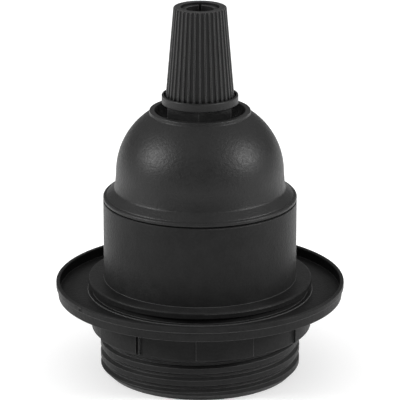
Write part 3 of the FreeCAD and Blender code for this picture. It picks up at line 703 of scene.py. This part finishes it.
class LAMPHOLDER_OT_cap(bpy.types.Operator):
    """Turns the cap with its sloping shoulder and crisp lip, and winds the thread on its neck"""

    bl_idname = "lamp_holder.cap"
    bl_label = "Domed cap"

    def execute(self, context):
        sizes = context.scene.lamp_holder_cap
        threads = context.scene.lamp_holder_threads
        skin = bpy.data.materials["cap_black"]
        profile = self.outside(sizes) + self.inside(sizes)
        build = turned(profile, steps=192, easing=sizes.easing)
        self.add_keys(build, sizes)
        cap = keep_mesh("cap", build, skin, "cap")
        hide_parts("cap_dome")
        ridge = helical_ridge(
            sizes.neck,
            threads.cap_height,
            threads.cap_width,
            threads.cap_pitch,
            threads.cap_start,
            threads.cap_length / threads.cap_pitch,
            inward=False,
        )
        keep_mesh("neck_thread", ridge, skin, "cap")
        return {"FINISHED"}

    def outside(self, sizes):
        """Outline from the neck's foot over the shoulder, its bead and the dome to the lip."""
        foot = CAP_LOW[2]
        lead_in = 0.4 * MM
        groove_depth = 0.5 * MM
        groove_top = SHELL_TOP + 0.25 * MM
        rim = SHELL_TOP + 0.78 * MM
        corner = sizes.slope_foot
        fillet_in = 0.15 * MM
        fillet_up = 0.4 * MM
        lip_step = 0.04 * MM
        lip_seam = math.acos((sizes.lip + lip_step - sizes.dome_middle) / sizes.dome)
        # The bead's crest, the dip behind it and the start of the slope, in from the corner and up
        # from the rim.
        bead = ((0.32 * MM, 0.3 * MM), (0.58 * MM, 0.15 * MM), (0.7 * MM, 0.4 * MM))
        outline = [
            (sizes.bore, foot),
            (sizes.neck - lead_in, foot),
            (sizes.neck, foot + lead_in),
            (sizes.neck, SHELL_TOP),
            (corner - groove_depth, SHELL_TOP),
            (corner - groove_depth, groove_top),
            (corner, groove_top),
            (corner, rim),
        ]
        outline += [(corner - inward, rim + rise) for inward, rise in bead]
        outline += [
            (sizes.slope_top, sizes.slope_height),
            (sizes.slope_top - fillet_in, sizes.slope_height + fillet_up),
        ]
        return outline + arc(
            sizes.dome_middle, sizes.dome_height, sizes.dome, 0.0, lip_seam, steps=24
        )

    def inside(self, sizes):
        """Outline from the lip down the well, round the cord hole and down the dome's inside."""
        lip_rise = 0.05 * MM
        mouth_in = 0.15 * MM
        mouth_down = 0.55 * MM
        floor_thick = 2.0 * MM
        well_wall = 1.6 * MM
        shelf_rise = 2.2 * MM
        top = CAP_HIGH[2] + lip_rise
        under = sizes.well_floor - floor_thick
        boss = sizes.well + well_wall
        hollow = sizes.dome - sizes.wall
        boss_seam = math.acos((boss - sizes.dome_middle) / hollow)
        outline = [
            (sizes.lip, top),
            (sizes.well, top),
            (sizes.well - mouth_in, top - mouth_down),
            (sizes.well_foot, sizes.well_floor),
            (sizes.cord_hole, sizes.well_floor),
            (sizes.cord_hole, under),
            (boss, under),
        ]
        outline += arc(
            sizes.dome_middle, sizes.dome_height, hollow, boss_seam, 0.0, steps=16
        )
        return outline + [
            (sizes.dome_middle + hollow, SHELL_TOP + shelf_rise),
            (sizes.bore, SHELL_TOP),
        ]

    def add_keys(self, build, sizes):
        """The two keys in the neck's bore that turn the terminal block with the cap."""
        width = 3.0 * MM
        reach = 1.0 * MM
        root = 0.95 * MM
        low = CAP_LOW[2]
        for side in (-1, 1):
            middle = side * (sizes.bore + (root - reach) / 2)
            place = Matrix.Translation((0, middle, (low + SHELL_TOP) / 2))
            size = Matrix.Diagonal((width, reach + root, SHELL_TOP - low, 1))
            bmesh.ops.create_cube(build, size=1.0, matrix=place @ size)


class LAMPHOLDER_OT_stage(bpy.types.Operator):
    """Lays the floor and sets the softboxes, the world and the camera"""

    bl_idname = "lamp_holder.stage"
    bl_label = "Stage"

    def execute(self, context):
        stage = context.scene.lamp_holder_stage
        self.lay_floor(context, stage)
        self.light_world(context, stage)
        self.hang_softbox(context, stage, "softbox_left", -1, stage.left_share * stage.key)
        self.hang_softbox(context, stage, "softbox_right", 1, stage.key)
        self.place_camera(context, stage)
        context.scene.view_settings.view_transform = "Standard"
        return {"FINISHED"}

    def lay_floor(self, context, stage):
        """A wide disc just under the object, which looks white and keeps the shadow."""
        radius = 4.0
        drop = 0.01 * MM
        build = bmesh.new()
        bmesh.ops.create_circle(build, cap_ends=True, segments=96, radius=radius)
        mesh = bpy.data.meshes.new("floor")
        build.to_mesh(mesh)
        build.free()
        mesh.transform(Matrix.Translation((0, 0, -drop)))
        mesh.materials.append(self.floor_paper(stage))
        floor = bpy.data.objects.new("floor", mesh)
        context.scene.collection.objects.link(floor)

    def floor_paper(self, stage):
        """Matt white paper that glows for the camera and in reflections, clear from below."""
        material = bpy.data.materials.new("floor_paper")
        shader = Shader(material)
        dark = stage.floor_grey
        light = 1.02 * dark
        fibre = noise(shader, object_place(shader), 4 * MM)
        behind = shader.add("ShaderNodeNewGeometry", output="Backfacing")
        camera = shader.add("ShaderNodeLightPath", output="Is Camera Ray")
        seen = camera + camera.sibling("Is Glossy Ray") + camera.sibling("Is Transmission Ray")
        matt = shader.add(
            "ShaderNodeBsdfPrincipled",
            {},
            {
                "Base Color": blend(shader, fibre, (dark, dark, dark, 1), (light, light, light, 1)),
                "Roughness": 0.9,
                "Emission Color": seen * stage.glow,
                "Emission Strength": 1.0,
                "Alpha": 1 - behind,
            },
        )
        shader.finish("ShaderNodeOutputMaterial", matt)
        return material

    def light_world(self, context, stage):
        """A dim room under a bright ceiling."""
        world = bpy.data.worlds.new("studio")
        context.scene.world = world
        shader = Shader(world)
        direction = shader.add("ShaderNodeTexCoord", output="Generated")
        height = shader.add("ShaderNodeSeparateXYZ", {}, {"Vector": direction}, output="Z")
        strength = shader.add(
            "ShaderNodeMapRange",
            {"interpolation_type": "SMOOTHSTEP"},
            {
                "Value": height,
                "From Min": 0.1,
                "From Max": 0.85,
                "To Min": stage.walls,
                "To Max": stage.ceiling,
            },
        )
        white = (1, 1, 1, 1)
        surface = shader.add("ShaderNodeBackground", {}, {"Color": white, "Strength": strength})
        shader.finish("ShaderNodeOutputWorld", surface)

    def hang_softbox(self, context, stage, name, side, brightness):
        """A square softbox at the side, above the object and turned to its middle."""
        lamp = bpy.data.lights.new(name, "AREA")
        lamp.shape = "SQUARE"
        lamp.size = stage.softbox
        lamp.energy = brightness * math.pi * stage.softbox ** 2
        out = stage.softbox_reach * math.cos(stage.softbox_rise)
        spot = Vector((
            side * out * math.sin(stage.softbox_side),
            -out * math.cos(stage.softbox_side),
            stage.softbox_reach * math.sin(stage.softbox_rise),
        ))
        middle = Vector((0, 0, 35 * MM))
        turn = spot.to_track_quat("Z", "Y").to_matrix().to_4x4()
        piece = bpy.data.objects.new(name, lamp)
        piece.matrix_world = Matrix.Translation(spot + middle) @ turn
        context.scene.collection.objects.link(piece)

    def place_camera(self, context, stage):
        """The camera, in front and above, turned to a point on the axis."""
        lens = bpy.data.cameras.new("camera")
        lens.lens = stage.lens
        lens.sensor_width = 36.0
        lens.clip_start = 0.01
        camera = bpy.data.objects.new("camera", lens)
        camera.location = (
            0,
            -stage.distance * math.cos(stage.pitch),
            stage.aim + stage.distance * math.sin(stage.pitch),
        )
        camera.rotation_euler = (math.pi / 2 - stage.pitch, 0, 0)
        context.scene.collection.objects.link(camera)
        context.scene.camera = camera


STEPS = (
    LAMPHOLDER_OT_mouldings,
    LAMPHOLDER_OT_metals,
    LAMPHOLDER_OT_block,
    LAMPHOLDER_OT_lamp_thread,
    LAMPHOLDER_OT_cap,
    LAMPHOLDER_OT_stage,
)


class LAMPHOLDER_PT_panel(bpy.types.Panel):
    """Lists the steps and the values that they use"""

    bl_idname = "LAMPHOLDER_PT_panel"
    bl_label = "Lamp Holder"
    bl_space_type = "VIEW_3D"
    bl_region_type = "UI"
    bl_category = "Lamp Holder"

    def draw(self, context):
        for step in STEPS:
            self.layout.operator(step.bl_idname)
        for group in GROUPS:
            values = getattr(context.scene, group)
            box = self.layout.box()
            for name in values.bl_rna.properties.keys():
                if name not in ("rna_type", "name"):
                    box.prop(values, name)


def register():
    """Adds the values and the steps to Blender."""
    for name, group in GROUPS.items():
        bpy.utils.register_class(group)
        setattr(bpy.types.Scene, name, bpy.props.PointerProperty(type=group))
    for item in STEPS + (LAMPHOLDER_PT_panel,):
        bpy.utils.register_class(item)


def unregister():
    """Takes them away again, in the opposite order."""
    for item in reversed(STEPS + (LAMPHOLDER_PT_panel,)):
        bpy.utils.unregister_class(item)
    for name, group in GROUPS.items():
        delattr(bpy.types.Scene, name)
        bpy.utils.unregister_class(group)


def main():
    """Builds everything in order."""
    register()
    bpy.ops.lamp_holder.mouldings()
    bpy.ops.lamp_holder.metals()
    bpy.ops.lamp_holder.block()
    bpy.ops.lamp_holder.lamp_thread()
    bpy.ops.lamp_holder.cap()
    bpy.ops.lamp_holder.stage()


if __name__ == "__main__":
    main()
